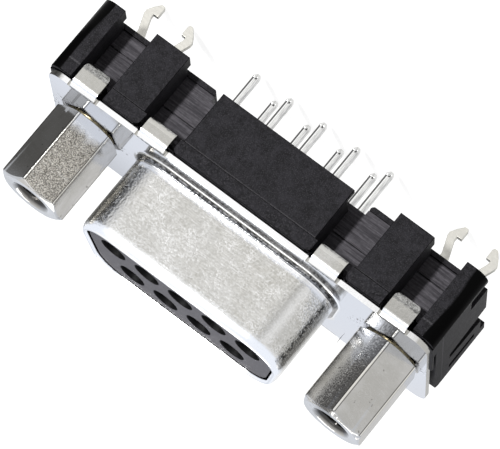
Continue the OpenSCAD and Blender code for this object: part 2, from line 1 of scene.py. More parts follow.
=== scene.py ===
# %% [markdown]
# # A nine-way D-sub socket for a circuit board
#
# The connector is a drawn steel shell on a black moulded housing, with solder
# tails, two forked boardlocks and two hexagonal screwlocks. Its shapes come
# from the CAD frame. This script gives each of them its finish, adds the few
# details that are too fine for the solids, and sets the camera and the light.
#
# Everything is in metres, in the frame's own axes: +Z is the way the plug
# leaves, +X runs along the connector and the board's face is Z = 0.

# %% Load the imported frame
import bmesh
import bpy
import math
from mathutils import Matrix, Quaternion, Vector


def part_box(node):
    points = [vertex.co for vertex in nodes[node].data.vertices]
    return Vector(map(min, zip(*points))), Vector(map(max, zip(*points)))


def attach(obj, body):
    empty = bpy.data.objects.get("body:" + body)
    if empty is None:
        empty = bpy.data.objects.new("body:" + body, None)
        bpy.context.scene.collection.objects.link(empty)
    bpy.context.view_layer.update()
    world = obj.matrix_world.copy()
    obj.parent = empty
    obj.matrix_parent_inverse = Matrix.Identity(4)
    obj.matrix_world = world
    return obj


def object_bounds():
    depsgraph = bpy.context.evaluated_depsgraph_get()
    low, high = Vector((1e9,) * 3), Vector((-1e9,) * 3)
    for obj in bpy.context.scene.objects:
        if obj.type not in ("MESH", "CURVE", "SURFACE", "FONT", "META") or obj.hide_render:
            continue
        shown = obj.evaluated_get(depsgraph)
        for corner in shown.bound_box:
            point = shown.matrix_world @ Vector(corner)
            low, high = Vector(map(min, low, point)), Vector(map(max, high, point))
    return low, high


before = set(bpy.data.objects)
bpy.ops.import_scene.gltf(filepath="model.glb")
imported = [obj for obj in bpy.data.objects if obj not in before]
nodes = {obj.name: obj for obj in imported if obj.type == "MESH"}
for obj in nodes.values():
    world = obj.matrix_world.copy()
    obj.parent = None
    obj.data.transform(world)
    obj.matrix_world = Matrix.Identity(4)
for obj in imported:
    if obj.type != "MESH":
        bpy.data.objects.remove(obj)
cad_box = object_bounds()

print("nodes in the frame:", len(nodes))

# %% [markdown]
# ## Camera
#
# The part is a few centimetres long and is seen from far off through a long
# lens, so that its edges stay nearly parallel. The camera stands on the side
# of the longer row of contacts, a little above the board's plane, and is
# rolled so far that the solder tails point up and to the right.
#
# A camera can be aimed by a constraint or by a rotation. A rotation is used,
# because a roll is then one more turn about the line of sight.

# %% Camera
MM = 0.001


def mm(x, y, z):
    """A point given in millimetres."""
    return Vector((x, y, z)) * MM


camera_place = mm(57.7, 256.6, 66.4)
camera_aim = mm(0.08, 0, 5.04)
camera_roll = math.radians(140.5)
camera_lens_mm = 297.2

camera = bpy.data.objects.new("camera", bpy.data.cameras.new("camera"))
camera.location = camera_place
sight = (camera_aim - camera_place).to_track_quat("-Z", "Y")
camera.rotation_mode = "QUATERNION"
camera.rotation_quaternion = sight @ Quaternion((0, 0, 1), -camera_roll)
camera.data.lens = camera_lens_mm
camera.data.sensor_width = 36
camera.data.clip_start = 10 * MM
bpy.context.scene.collection.objects.link(camera)
bpy.context.scene.camera = camera
bpy.context.scene.view_settings.view_transform = "Standard"
print("camera stands off by", round((camera_aim - camera_place).length / MM), "mm")

# %% [markdown]
# ## Node trees in a few words
#
# Every finish below is a node tree. Written out in full, a tree takes four or
# five lines a node, so two helpers come first: one adds a node and sets its
# sockets, the other makes a node group with named inputs and outputs. A value
# that is a node's output is linked, and a plain value is set.

# %% Helpers for node trees
def add(tree, kind, inputs=None, **settings):
    """Adds a node. inputs is {socket name or number: value or output}."""
    node = tree.nodes.new("ShaderNode" + kind)
    for name, value in settings.items():
        setattr(node, name, value)
    for name, value in (inputs or {}).items():
        if isinstance(value, bpy.types.NodeSocket):
            tree.links.new(value, node.inputs[name])
        else:
            node.inputs[name].default_value = value
    return node


def group(name, inputs, outputs):
    """Starts a node group: (tree, its inputs by name, its output node)."""
    tree = bpy.data.node_groups.new(name, "ShaderNodeTree")
    for label, kind, value in inputs:
        socket = tree.interface.new_socket(label, in_out="INPUT", socket_type="NodeSocket" + kind)
        socket.default_value = value
    for label, kind in outputs:
        tree.interface.new_socket(label, in_out="OUTPUT", socket_type="NodeSocket" + kind)
    source = tree.nodes.new("NodeGroupInput")
    return tree, source.outputs, tree.nodes.new("NodeGroupOutput")


def math_node(tree, operation, a, b=0.0, clamp=False):
    """One arithmetic step, as the output that holds its result."""
    return add(tree, "Math", {0: a, 1: b}, operation=operation, use_clamp=clamp).outputs[0]


def place(tree, stretch=(1, 1, 1)):
    """Coordinates in millimetres, stretched for a texture that runs one way."""
    where = add(tree, "TexCoord").outputs["Object"]
    scale = [1000 * s for s in stretch]
    return add(tree, "Mapping", {"Vector": where, "Scale": scale}).outputs["Vector"]


def span(tree, value, low, high):
    """Maps low..high to 0..1 and clamps."""
    return add(tree, "MapRange", {"Value": value, "From Min": low, "From Max": high}).outputs["Result"]


def band(tree, value, rise_from, rise_to, fall_from, fall_to):
    """1 between two values and 0 outside, with soft ends."""
    return math_node(tree, "MULTIPLY", span(tree, value, rise_from, rise_to),
                     inverse(tree, span(tree, value, fall_from, fall_to)))


def inverse(tree, mask):
    """1 where a mask is 0."""
    return math_node(tree, "SUBTRACT", 1.0, mask)


def times(tree, first, *others):
    """The product of any number of masks."""
    for other in others:
        first = math_node(tree, "MULTIPLY", first, other)
    return first


print("helpers ready")

# %% [markdown]
# ## Effects that several finishes share
#
# **Grain** is the fine sandy skin of a moulded part or of a plated one. Two
# sizes of noise are added, so that it doesn't look even.
#
# **Blotches** are the soft patches where plating is duller or more yellow.
#
# **Scratches** are thin marks that cross at shallow angles. A noise that is
# squeezed along one axis makes them, and only its thin ridges are kept.
#
# ** Worms** are the short winding ridges of a drawn sheet, where the shell
# paints highlights. A noise crosses its middle value along winding lines, and
# the places near those lines are kept.
#
# **Locks** gives the distance from the nearer screwlock's axis, and the angle
# round it from the outward side, in degrees.
#
# **Flats** tells plane faces from bends. Sheet that was drawn or bent has a
# pebbled skin where it stretched, and a mould is polished where it is curved
# and textured where it is flat, so both kinds of material need this mask. It
# compares the normal with the part's own axes.

# %% Grain
grain, given, result = group(
    "Grain",
    [("Scale", "Float", 6.0), ("Coarse share", "Float", 0.4)],
    [("Height", "Float")],
)
at = place(grain)
fine = add(grain, "TexNoise", {"Vector": at, "Scale": given["Scale"], "Detail": 2.0}).outputs["Fac"]
wide_scale = math_node(grain, "MULTIPLY", given["Scale"], 0.23)
wide = add(grain, "TexNoise", {"Vector": at, "Scale": wide_scale, "Detail": 2.0,
                               "Distortion": 0.6}).outputs["Fac"]
both = add(grain, "Mix", {0: given["Coarse share"], 2: fine, 3: wide}, data_type="FLOAT")
grain.links.new(both.outputs[0], result.inputs["Height"])
print("group:", grain.name)

# %% Blotches
blotches, given, result = group(
    "Blotches",
    [("Scale", "Float", 0.6), ("Contrast", "Float", 0.2)],
    [("Mask", "Float")],
)
at = place(blotches)
patch = add(blotches, "TexNoise", {"Vector": at, "Scale": given["Scale"], "Detail": 6.0,
                                   "Roughness": 0.62, "Distortion": 0.4}).outputs["Fac"]
low = math_node(blotches, "SUBTRACT", 0.5, given["Contrast"])
high = math_node(blotches, "ADD", 0.5, given["Contrast"])
blotches.links.new(span(blotches, patch, low, high), result.inputs["Mask"])
print("group:", blotches.name)

# %% Scratches
scratches, given, result = group(
    "Scratches",
    [("Density", "Float", 2.0), ("Fineness", "Float", 0.02)],
    [("Mask", "Float")],
)
marks = []
for turn in (20, -35, 75):
    where = add(scratches, "TexCoord").outputs["Object"]
    mapped = add(scratches, "Mapping", {"Vector": where, "Rotation": (0.3, math.radians(turn), 0.2),
                                        "Scale": (180, 1000, 2600)}).outputs["Vector"]
    noise = add(scratches, "TexNoise", {"Vector": mapped, "Scale": given["Density"],
                                        "Detail": 1.0}).outputs["Fac"]
    off = math_node(scratches, "ABSOLUTE", math_node(scratches, "SUBTRACT", noise, 0.5))
    near = math_node(scratches, "DIVIDE", off, given["Fineness"])
    marks.append(math_node(scratches, "SUBTRACT", 1.0, near, clamp=True))
most = math_node(scratches, "MAXIMUM", math_node(scratches, "MAXIMUM", marks[0], marks[1]), marks[2])
scratches.links.new(most, result.inputs["Mask"])
print("group:", scratches.name)

# %% Worms
worms, given, result = group(
    "Worms",
    [("Scale", "Float", 3.0), ("Width", "Float", 0.05)],
    [("Mask", "Float")],
)
wander = add(worms, "TexNoise", {"Vector": place(worms), "Scale": given["Scale"], "Detail": 1.0,
                                 "Distortion": 0.8}).outputs["Fac"]
off = math_node(worms, "ABSOLUTE", math_node(worms, "SUBTRACT", wander, 0.5))
near = math_node(worms, "DIVIDE", off, given["Width"])
worms.links.new(math_node(worms, "SUBTRACT", 1.0, near, clamp=True), result.inputs["Mask"])
print("group:", worms.name)

# %% Flats
flats, given, result = group(
    "Flats",
    [("Softness", "Float", 0.03)],
    [("Mask", "Float"), ("Along X", "Float"), ("Along Y", "Float"), ("Along Z", "Float")],
)
facing = add(flats, "TexCoord").outputs["Normal"]
axes = add(flats, "SeparateXYZ", {0: add(flats, "VectorMath", {0: facing}, operation="ABSOLUTE").outputs[0]})
biggest = math_node(flats, "MAXIMUM", math_node(flats, "MAXIMUM", axes.outputs["X"], axes.outputs["Y"]),
                    axes.outputs["Z"])
low = math_node(flats, "SUBTRACT", 0.999, given["Softness"])
flats.links.new(span(flats, biggest, low, 0.999), result.inputs["Mask"])
for axis in "XYZ":
    flats.links.new(axes.outputs[axis], result.inputs["Along " + axis])
print("group:", flats.name)

# %% Locks
lock_x_mm = 12.495
locks, given, result = group("Locks", [], [("Radius", "Float"), ("Angle", "Float"), ("On right", "Float")])
at = add(locks, "SeparateXYZ", {0: place(locks)}).outputs
along = math_node(locks, "SUBTRACT", math_node(locks, "ABSOLUTE", at["X"]), lock_x_mm)
flat_place = add(locks, "CombineXYZ", {"X": along, "Y": at["Y"]}).outputs[0]
radius = add(locks, "VectorMath", {0: flat_place}, operation="LENGTH").outputs["Value"]
angle = math_node(locks, "DEGREES", math_node(locks, "ARCTAN2", at["Y"], along))
locks.links.new(radius, result.inputs["Radius"])
locks.links.new(angle, result.inputs["Angle"])
locks.links.new(math_node(locks, "GREATER_THAN", at["X"], 0.0), result.inputs["On right"])
print("group:", locks.name)

# %% [markdown]
# ## Plated metal
#
# All the metal here is plated. One function gives a plain plating: two tones
# in patches, a rough and a shiny share, and a grain that stands up from the
# surface. The shell and the screwlocks need more and get their own cells.

# %% Helpers for finishes
def use(tree, effect, **values):
    """Places a shared effect in a material, with its own values."""
    node = add(tree, "Group", node_tree=effect)
    for name, value in values.items():
        node.inputs[name.replace("_", " ")].default_value = value
    return node.outputs


def start(name):
    """A new material's tree and its Principled shader."""
    material = bpy.data.materials.new(name)
    material.use_nodes = True
    tree = material.node_tree
    return material, tree, tree.nodes["Principled BSDF"]


def blend(tree, share, one, other):
    """A colour or number between two, by a mask."""
    if isinstance(one, (int, float)) or isinstance(other, (int, float)):
        return add(tree, "Mix", {0: share, 2: one, 3: other}, data_type="FLOAT").outputs[0]
    return add(tree, "Mix", {0: share, 6: one, 7: other}, data_type="RGBA").outputs[2]


def position(tree):
    """The place on the part in millimetres, as separate X, Y and Z."""
    return add(tree, "SeparateXYZ", {0: place(tree)}).outputs


def rise(tree, height, distance):
    """A bump of a height that is given in metres."""
    return add(tree, "Bump", {"Strength": 1.0, "Distance": distance, "Height": height}).outputs["Normal"]


def finish_with(tree, shader, tone, rough, normal):
    """Connects what changes over the surface."""
    tree.links.new(tone, shader.inputs["Base Color"])
    tree.links.new(rough, shader.inputs["Roughness"])
    tree.links.new(normal, shader.inputs["Normal"])


# %% Plain plating
def plated(name, clean, dull, shine, grain_scale, grain_height, blotch_scale):
    """Plated metal: clean and dull tones in patches, with a fine grain."""
    material, tree, shader = start(name)
    patches = use(tree, blotches, Scale=blotch_scale, Contrast=0.16)["Mask"]
    skin = use(tree, grain, Scale=grain_scale, Coarse_share=0.35)["Height"]
    tone = blend(tree, patches, (*clean, 1), (*dull, 1))
    rough = blend(tree, patches, shine[0], shine[1])
    finish_with(tree, shader, tone, rough, rise(tree, skin, grain_height))
    shader.inputs["Metallic"].default_value = 1.0
    return material


boardlock_tin = plated("boardlock_tin", clean=(0.55, 0.54, 0.5), dull=(0.42, 0.41, 0.38),
                       shine=(0.3, 0.5), grain_scale=5.0, grain_height=0.00001, blotch_scale=1.2)
# the insert's dull patches are nearly black, painted shade for the gap under the hexagons
insert_brass = plated("insert_brass", clean=(0.42, 0.36, 0.22), dull=(0.07, 0.06, 0.04),
                      shine=(0.25, 0.45), grain_scale=10.0, grain_height=0.00001, blotch_scale=1.4)
print("plain platings: 2")

# %% [markdown]
# A contact's tail is sheet folded on itself, so a dark seam runs down beside
# its edge. One half of each tail is painted darker than the other, a painted
# shade across its width. All the contacts stand at whole or half pitches from
# the part's middle plane, so one distance to the nearest half pitch finds every
# seam.

# %% Contacts
half_pitch_mm = 1.385
contact_tin, tree, shader = start("contact_tin")
at = position(tree)
steps = math_node(tree, "DIVIDE", at["X"], half_pitch_mm)
off = math_node(tree, "SUBTRACT", steps, math_node(tree, "ROUND", steps))
off = math_node(tree, "MULTIPLY", off, half_pitch_mm)
above_tip = span(tree, at["Z"], -2.8, -2.74)
seam = times(tree, band(tree, off, -0.23, -0.2, -0.12, -0.09), above_tip)
nick = times(tree, band(tree, off, -0.03, 0.01, 0.09, 0.13), band(tree, at["Z"], -2.84, -2.8, -2.68, -2.64))
# the +X half of each tail gets painted shade, greyer and a little rougher
painted_shaded_half = times(tree, span(tree, off, -0.03, 0.06), above_tip)
along_tail = place(tree, (6.0, 6.0, 0.6))
brushed = add(tree, "TexNoise", {"Vector": along_tail, "Scale": 2.2, "Detail": 2.0}).outputs["Fac"]
skin = use(tree, grain, Scale=6.0, Coarse_share=0.3)["Height"]
grey = blend(tree, span(tree, brushed, 0.38, 0.62), (0.38, 0.38, 0.38, 1), (0.66, 0.66, 0.65, 1))
tone = blend(tree, math_node(tree, "MULTIPLY", painted_shaded_half, 0.85), (0.88, 0.88, 0.87, 1), grey)
tone = blend(tree, above_tip, (0.68, 0.68, 0.67, 1), tone)
dark = math_node(tree, "MAXIMUM", seam, nick)
tone = blend(tree, math_node(tree, "MULTIPLY", dark, 0.92), tone, (0.02, 0.02, 0.02, 1))
height = math_node(tree, "SUBTRACT", math_node(tree, "MULTIPLY", skin, 0.5), dark)
finish_with(tree, shader, tone, blend(tree, painted_shaded_half, 0.15, 0.28), rise(tree, height, 0.000015))
shader.inputs["Metallic"].default_value = 1.0
print("finish:", contact_tin.name)

# %% [markdown]
# ## The shell's plating
#
# The shell is drawn from bright steel. Its flange keeps the sheet's own
# smoothness and nearly mirrors what stands on it. The walls of the D and the
# tabs were stretched and bent, so they are pebbled, a little warmer, and
# scratched by the tool. The pebbles are a bump, and the painted highlights on
# the winding ridges between them are a second mask, because one noise can't
# give both.
#
# The marks that belong to one place are found by its height in millimetres or
# by its distance from the middle planes.

# %% Shell
shell_plate, tree, shader = start("shell_plate")
plane = use(tree, flats, Softness=0.02)
worked = inverse(tree, span(tree, plane["Along Z"], 0.9, 0.99))
patches = use(tree, blotches, Scale=0.35, Contrast=0.14)["Mask"]
at = position(tree)
wide, deep = (math_node(tree, "ABSOLUTE", at[axis]) for axis in "XY")
pebbles = use(tree, grain, Scale=6.0, Coarse_share=0.3)["Height"]
marks = use(tree, scratches, Density=2.4, Fineness=0.01)["Mask"]
on_nose = span(tree, at["Z"], 6.56, 6.62)
clusters = use(tree, blotches, Scale=0.5, Contrast=0.1)["Mask"]
# painted highlights on the winding ridges of the nose
ridge_highlights = times(tree, use(tree, worms, Scale=3.6, Width=0.06)["Mask"], on_nose, clusters)

# the nose's faces are pillowed, and painted highlights run along their edges
painted_rim_highlight = math_node(tree, "MAXIMUM", band(tree, at["Z"], 6.6, 6.64, 6.88, 7.1), span(tree, at["Z"], 11.5, 11.9))
turn = band(tree, wide, 6.0, 6.4, 6.6, 7.0)
painted_rim_highlight = times(tree, math_node(tree, "MAXIMUM", painted_rim_highlight, math_node(tree, "MULTIPLY", turn, 0.5)), on_nose)
straight = math_node(tree, "MAXIMUM", plane["Along X"], plane["Along Y"])
curved = times(tree, on_nose, inverse(tree, span(tree, straight, 0.9, 0.97)))
# the nose's curved corners are pitted: the pits get a stronger bump, and their dark tone is a painted dark
# reflection
on_right = math_node(tree, "GREATER_THAN", at["X"], 0.0)
pits_and_dark_reflection = blend(tree, on_right, band(tree, plane["Along X"], 0.22, 0.34, 0.6, 0.72),
               band(tree, plane["Along X"], 0.78, 0.86, 0.93, 0.97))
pits_and_dark_reflection = times(tree, curved, pits_and_dark_reflection)

# the bend at the foot of the D gets painted shade in its crease, rough and
# dark, with a finer, paler line in it, and a painted highlight on the lip below
painted_crease_shade = band(tree, at["Z"], 6.3, 6.33, 6.61, 6.64)
crease_shade_tone = blend(tree, span(tree, pebbles, 0.44, 0.58), (0.02, 0.02, 0.02, 1), (0.26, 0.26, 0.26, 1))
crease_shade_tone = blend(tree, band(tree, at["Z"], 6.52, 6.54, 6.56, 6.58), crease_shade_tone, (0.3, 0.3, 0.3, 1))
painted_lip_highlight = band(tree, at["Z"], 6.2, 6.26, 6.29, 6.31)
face = times(tree, span(tree, plane["Along Z"], 0.98, 0.99), band(tree, at["Z"], 6.1, 6.15, 6.26, 6.3))

# a broken line of painted shade runs along the start of each tab, and the
# outside of the tabs' bends gets a painted highlight
on_tab = []
for centre_mm, half_mm in ((6.99, 1.05), (12.65, 0.98)):
    aside = math_node(tree, "ABSOLUTE", math_node(tree, "SUBTRACT", wide, centre_mm))
    on_tab.append(inverse(tree, span(tree, aside, half_mm, half_mm + 0.05)))
tab_root_shade = times(tree, math_node(tree, "MAXIMUM", *on_tab), band(tree, deep, 5.8, 5.88, 5.98, 6.02),
                 span(tree, at["Z"], 6.0, 6.1), span(tree, pebbles, 0.42, 0.5))
painted_bend_highlight = times(tree, span(tree, deep, 6.0, 6.05), span(tree, at["Z"], 5.62, 5.88))

# dark specks stand in the plating round the screwlocks, among painted glints
near_lock = times(tree, face, band(tree, use(tree, locks)["Radius"], 2.5, 2.6, 3.1, 3.5),
                  math_node(tree, "GREATER_THAN", at["Y"], 0.0))
spots = use(tree, grain, Scale=5.0, Coarse_share=0.2)["Height"]
specks = times(tree, near_lock, span(tree, spots, 0.58, 0.62))
glints = times(tree, near_lock, inverse(tree, span(tree, spots, 0.38, 0.42)))

dark, bright = (0.04, 0.04, 0.04, 1), (0.97, 0.97, 0.97, 1)
pebble_share = times(tree, span(tree, pebbles, 0.38, 0.62), blend(tree, on_nose, 0.25, 1.0))
drawn = blend(tree, pebble_share, (0.49, 0.48, 0.445, 1), (0.645, 0.635, 0.6, 1))
drawn = blend(tree, math_node(tree, "MULTIPLY", patches, 0.4), drawn, (0.61, 0.61, 0.61, 1))
drawn = blend(tree, math_node(tree, "MULTIPLY", ridge_highlights, 0.8), drawn, bright)
drawn = blend(tree, times(tree, marks, blend(tree, on_nose, 0.1, 0.6)), drawn, bright)
drawn = blend(tree, times(tree, pits_and_dark_reflection, span(tree, pebbles, 0.43, 0.57)), drawn, (0.07, 0.07, 0.07, 1))
drawn = blend(tree, math_node(tree, "MAXIMUM", math_node(tree, "MAXIMUM", painted_rim_highlight, painted_bend_highlight), painted_lip_highlight), drawn, bright)
# the tabs' free ends get a dark, mottled tone, a painted dark reflection
ragged = math_node(tree, "ADD", at["Z"], math_node(tree, "MULTIPLY", pebbles, 0.3))
tab_end_dark_reflection = inverse(tree, span(tree, ragged, 4.9, 5.0))
fine = use(tree, grain, Scale=13.0, Coarse_share=0.4)["Height"]
tab_end_reflection_tone = blend(tree, span(tree, fine, 0.4, 0.6), (0.09, 0.09, 0.09, 1), (0.42, 0.42, 0.41, 1))
drawn = blend(tree, math_node(tree, "MULTIPLY", tab_end_dark_reflection, 0.9), drawn, tab_end_reflection_tone)
tone = blend(tree, worked, (0.74, 0.74, 0.75, 1), drawn)
tone = blend(tree, painted_crease_shade, tone, crease_shade_tone)
tone = blend(tree, math_node(tree, "MULTIPLY", glints, 0.6), tone, bright)
# the cut edges of the tabs are dark
cut = times(tree, inverse(tree, span(tree, plane["Along Y"], 0.2, 0.5)), span(tree, deep, 6.1, 6.15),
            inverse(tree, span(tree, at["Z"], 5.4, 5.5)))
# painted shade at the tabs' roots, the dark cut edges and the specks turn dark and lose their metal
shade_and_dirt = math_node(tree, "MAXIMUM", math_node(tree, "MAXIMUM", tab_root_shade, cut), specks)
tone = blend(tree, math_node(tree, "MULTIPLY", shade_and_dirt, 0.9), tone, dark)
metal = inverse(tree, times(tree, shade_and_dirt, 0.9))
rough = blend(tree, worked, 0.1, blend(tree, patches, 0.12, 0.2))
strength = blend(tree, pits_and_dark_reflection, blend(tree, on_nose, 0.5, 1.0), 3.5)
strength = times(tree, strength, inverse(tree, math_node(tree, "MULTIPLY", painted_rim_highlight, 0.8)))
height = times(tree, pebbles, blend(tree, worked, 0.05, strength))
finish_with(tree, shader, tone, rough, rise(tree, height, 0.00003))
tree.links.new(metal, shader.inputs["Metallic"])
shader.inputs["Specular IOR Level"].default_value = 0.1
print("finish:", shell_plate.name)

# %% [markdown]
# ## The screwlocks' plating
#
# The hexagons are turned from bar and plated with nickel. The plating is
# smooth on most flats. Where the left hexagon's flats face along Y it kept the
# bar's sandy skin, grains a tenth of a millimetre across, and there light and
# dark grains are painted as a mottled reflection. One flat of the right
# hexagon is darker towards its edge and free end.

# %% Screwlocks
screwlock_nickel, tree, shader = start("screwlock_nickel")
at = position(tree)
around = use(tree, locks)
side = use(tree, flats, Softness=0.02)["Along Y"]
patches = use(tree, blotches, Scale=0.4, Contrast=0.1)["Mask"]
on_left = inverse(tree, around["On right"])
# on the left hexagon's flats that face along Y the sandy skin is a bump, and its light and dark grains are a
# painted mottled reflection
rough_bar = times(tree, span(tree, side, 0.9, 0.93), on_left)
fading = span(tree, math_node(tree, "ADD", at["Z"], math_node(tree, "MULTIPLY", patches, 0.7)), 7.5, 8.1)
sandy_skin_and_reflection = times(tree, rough_bar, fading)
sand = use(tree, grain, Scale=13.0, Coarse_share=0.1)["Height"]
specks = use(tree, grain, Scale=2.6, Coarse_share=0.0)["Height"]
marks = use(tree, scratches, Density=1.7, Fineness=0.008)["Mask"]
sand_reflection_tone = blend(tree, span(tree, sand, 0.38, 0.62), (0.1, 0.09, 0.075, 1), (0.58, 0.55, 0.49, 1))
smooth = blend(tree, patches, (0.51, 0.5, 0.475, 1), (0.6, 0.59, 0.575, 1))
smooth = blend(tree, times(tree, span(tree, specks, 0.7, 0.73), 0.6), smooth, (0.1, 0.09, 0.08, 1))
bare = times(tree, rough_bar, inverse(tree, fading))
smooth = blend(tree, bare, smooth, (0.8, 0.81, 0.83, 1))

# one flat of the right hexagon is darker towards its edge and free end
flange_front_mm, fraying_degrees = 6.3, 130.0
up = math_node(tree, "SUBTRACT", at["Z"], flange_front_mm)
reach = math_node(tree, "ADD", 106.0, math_node(tree, "MULTIPLY", up, 2.6))
ragged = math_node(tree, "MULTIPLY", math_node(tree, "SUBTRACT", sand, 0.5), fraying_degrees)
frayed = math_node(tree, "ADD", around["Angle"], ragged)
darker_flat = times(tree, around["On right"], span(tree, around["Angle"], 87.5, 88.5),
                inverse(tree, span(tree, math_node(tree, "SUBTRACT", frayed, reach), -7.0, 7.0)))
smooth = blend(tree, math_node(tree, "MULTIPLY", darker_flat, 0.9), smooth, (0.1, 0.097, 0.095, 1))
near_flange = inverse(tree, span(tree, math_node(tree, "ADD", at["Z"], sand), 7.2, 8.0))
glare = times(tree, around["On right"], span(tree, around["Angle"], 110.0, 122.0), near_flange)
smooth = blend(tree, glare, smooth, (0.95, 0.95, 0.95, 1))
tone = blend(tree, sandy_skin_and_reflection, smooth, sand_reflection_tone)
tone = blend(tree, math_node(tree, "MULTIPLY", marks, 0.3), tone, (0.8, 0.8, 0.78, 1))

# the corners get a painted highlight beside a line of painted shade, and the bore gets painted shade
painted_corner_highlight = span(tree, around["Radius"], 2.56, 2.567)
painted_corner_shade = band(tree, around["Radius"], 2.52, 2.53, 2.556, 2.56)
tone = blend(tree, math_node(tree, "MULTIPLY", painted_corner_shade, 0.7), tone, (0.05, 0.045, 0.04, 1))
tone = blend(tree, math_node(tree, "MULTIPLY", painted_corner_highlight, 0.9), tone, (0.9, 0.88, 0.82, 1))
hole_shade = inverse(tree, span(tree, around["Radius"], 1.25, 1.5))
tone = blend(tree, math_node(tree, "MULTIPLY", hole_shade, 0.95), tone, (0.04, 0.038, 0.036, 1))
height = times(tree, sand, blend(tree, sandy_skin_and_reflection, 0.1, 1.0))
finish_with(tree, shader, tone, blend(tree, sandy_skin_and_reflection, 0.1, 0.26), rise(tree, height, 0.00003))
shader.inputs["Metallic"].default_value = 1.0
print("finish:", screwlock_nickel.name)

# %% [markdown]
# ## Moulded plastic
#
# The housing is glass-filled and nearly black. Its flats are textured and a
# little greyer, its rounded corners are polished and reflect almost nothing.
# The insulators are a paler, purplish grey, drawn in streaks where the
# moulds slid past them.

# %% Housing
housing_black, tree, shader = start("housing_black")
plane = use(tree, flats, Softness=0.02)["Mask"]
skin = use(tree, grain, Scale=5.0, Coarse_share=0.45)["Height"]
dust = use(tree, blotches, Scale=0.7, Contrast=0.2)["Mask"]
mottle = blend(tree, span(tree, skin, 0.38, 0.62), (0.002, 0.0018, 0.0024, 1), (0.021, 0.02, 0.024, 1))
powder = use(tree, grain, Scale=14.0, Coarse_share=0.0)["Height"]
mottle = blend(tree, math_node(tree, "MULTIPLY", dust, 0.4), mottle, (0.016, 0.015, 0.018, 1))
mottle = blend(tree, span(tree, powder, 0.52, 0.72), mottle, (0.05, 0.048, 0.053, 1))
at = position(tree)
# a painted highlight along the step at the foot of the blocks
painted_step_highlight = times(tree, band(tree, at["Z"], 4.62, 4.66, 4.74, 4.78), span(tree, powder, 0.4, 0.5))
mottle = blend(tree, painted_step_highlight, mottle, (0.07, 0.068, 0.073, 1))
tone = blend(tree, plane, (0.002, 0.002, 0.002, 1), mottle)
finish_with(tree, shader, tone, blend(tree, plane, 0.25, 0.6),
            rise(tree, math_node(tree, "MULTIPLY", skin, plane), 0.00003))
tree.links.new(blend(tree, plane, 0.02, 0.12), shader.inputs["Specular IOR Level"])
print("finish:", housing_black.name)

# %% Insulators
insulator_grey, tree, shader = start("insulator_grey")
skin = use(tree, grain, Scale=5.0, Coarse_share=0.3)["Height"]
plane = use(tree, flats, Softness=0.02)
at = place(tree, (0.35, 1.0, 5.5))
streaks = add(tree, "TexNoise", {"Vector": at, "Scale": 1.5, "Detail": 3.0, "Roughness": 0.65}).outputs["Fac"]
streaked = math_node(tree, "MULTIPLY", span(tree, streaks, 0.35, 0.62), plane["Along Y"])
face = blend(tree, span(tree, skin, 0.35, 0.65), (0.088, 0.083, 0.093, 1), (0.135, 0.127, 0.142, 1))
tone = blend(tree, math_node(tree, "MULTIPLY", streaked, 0.85), face, (0.03, 0.028, 0.033, 1))
at = position(tree)
# painted shade deep in the contact holes
upright = inverse(tree, span(tree, plane["Along Z"], 0.5, 0.9))
hole_shade = math_node(tree, "MULTIPLY", upright, math_node(tree, "GREATER_THAN", at["Z"], 7.0))
tone = blend(tree, hole_shade, tone, (0.002, 0.002, 0.002, 1))
height = math_node(tree, "ADD", math_node(tree, "MULTIPLY", skin, 0.3), streaked)
finish_with(tree, shader, tone, blend(tree, streaked, 0.45, 0.55), rise(tree, height, 0.000015))
shader.inputs["Specular IOR Level"].default_value = 0.12
print("finish:", insulator_grey.name)

# %% Give each solid its finish
finishes = {
    "shell": shell_plate,
    "housing": housing_black,
    "insulator": insulator_grey,
    "contact": contact_tin,
    "boardlock": boardlock_tin,
    "insert": insert_brass,
    "screwlock": screwlock_nickel,
}
for name, solid in nodes.items():
    finish = next(f for key, f in finishes.items() if key in name)
    solid.data.materials.clear()
    solid.data.materials.append(finish)
    print(name, "->", finish.name)

# %% [markdown]
# ## Edges that catch the light
#
# No moulded or turned edge is perfectly sharp, and a sharp one shows no
# highlight. The solids come as separate faces, so a Weld modifier joins them
# first and a Bevel modifier then rounds what turns by more than an angle.
# Modifiers leave the meshes themselves as they are.

# %% Rounded edges
def soften(solid, width_mm, angle=30, segments=2):
    """Rounds a solid's sharp edges by a fraction of a millimetre."""
    joined = solid.modifiers.new("joined faces", "WELD")
    joined.merge_threshold = 0.0002 * MM
    rounded = solid.modifiers.new("rounded edges", "BEVEL")
    rounded.width = width_mm * MM
    rounded.segments = segments
    rounded.limit_method = "ANGLE"
    rounded.angle_limit = math.radians(angle)
    rounded.use_clamp_overlap = False
    rounded.harden_normals = True


edge_widths_mm = {"housing": 0.05, "insulator": 0.03, "screwlock": 0.06, "boardlock": 0.03}
for name, solid in nodes.items():
    for key, width in edge_widths_mm.items():
        if key in name:
            soften(solid, width)
            print(name, "edges rounded by", width, "mm")

# %% [markdown]
# ## Threads in the screwlocks
#
# The CAD keeps each tapped hole plain, so that a screw can be fitted to it.
# The thread that shows in its mouth is a helical ridge. It could be a screw
# modifier on a small profile, but a profile that is swept in a loop keeps its
# section upright and its ends closed.

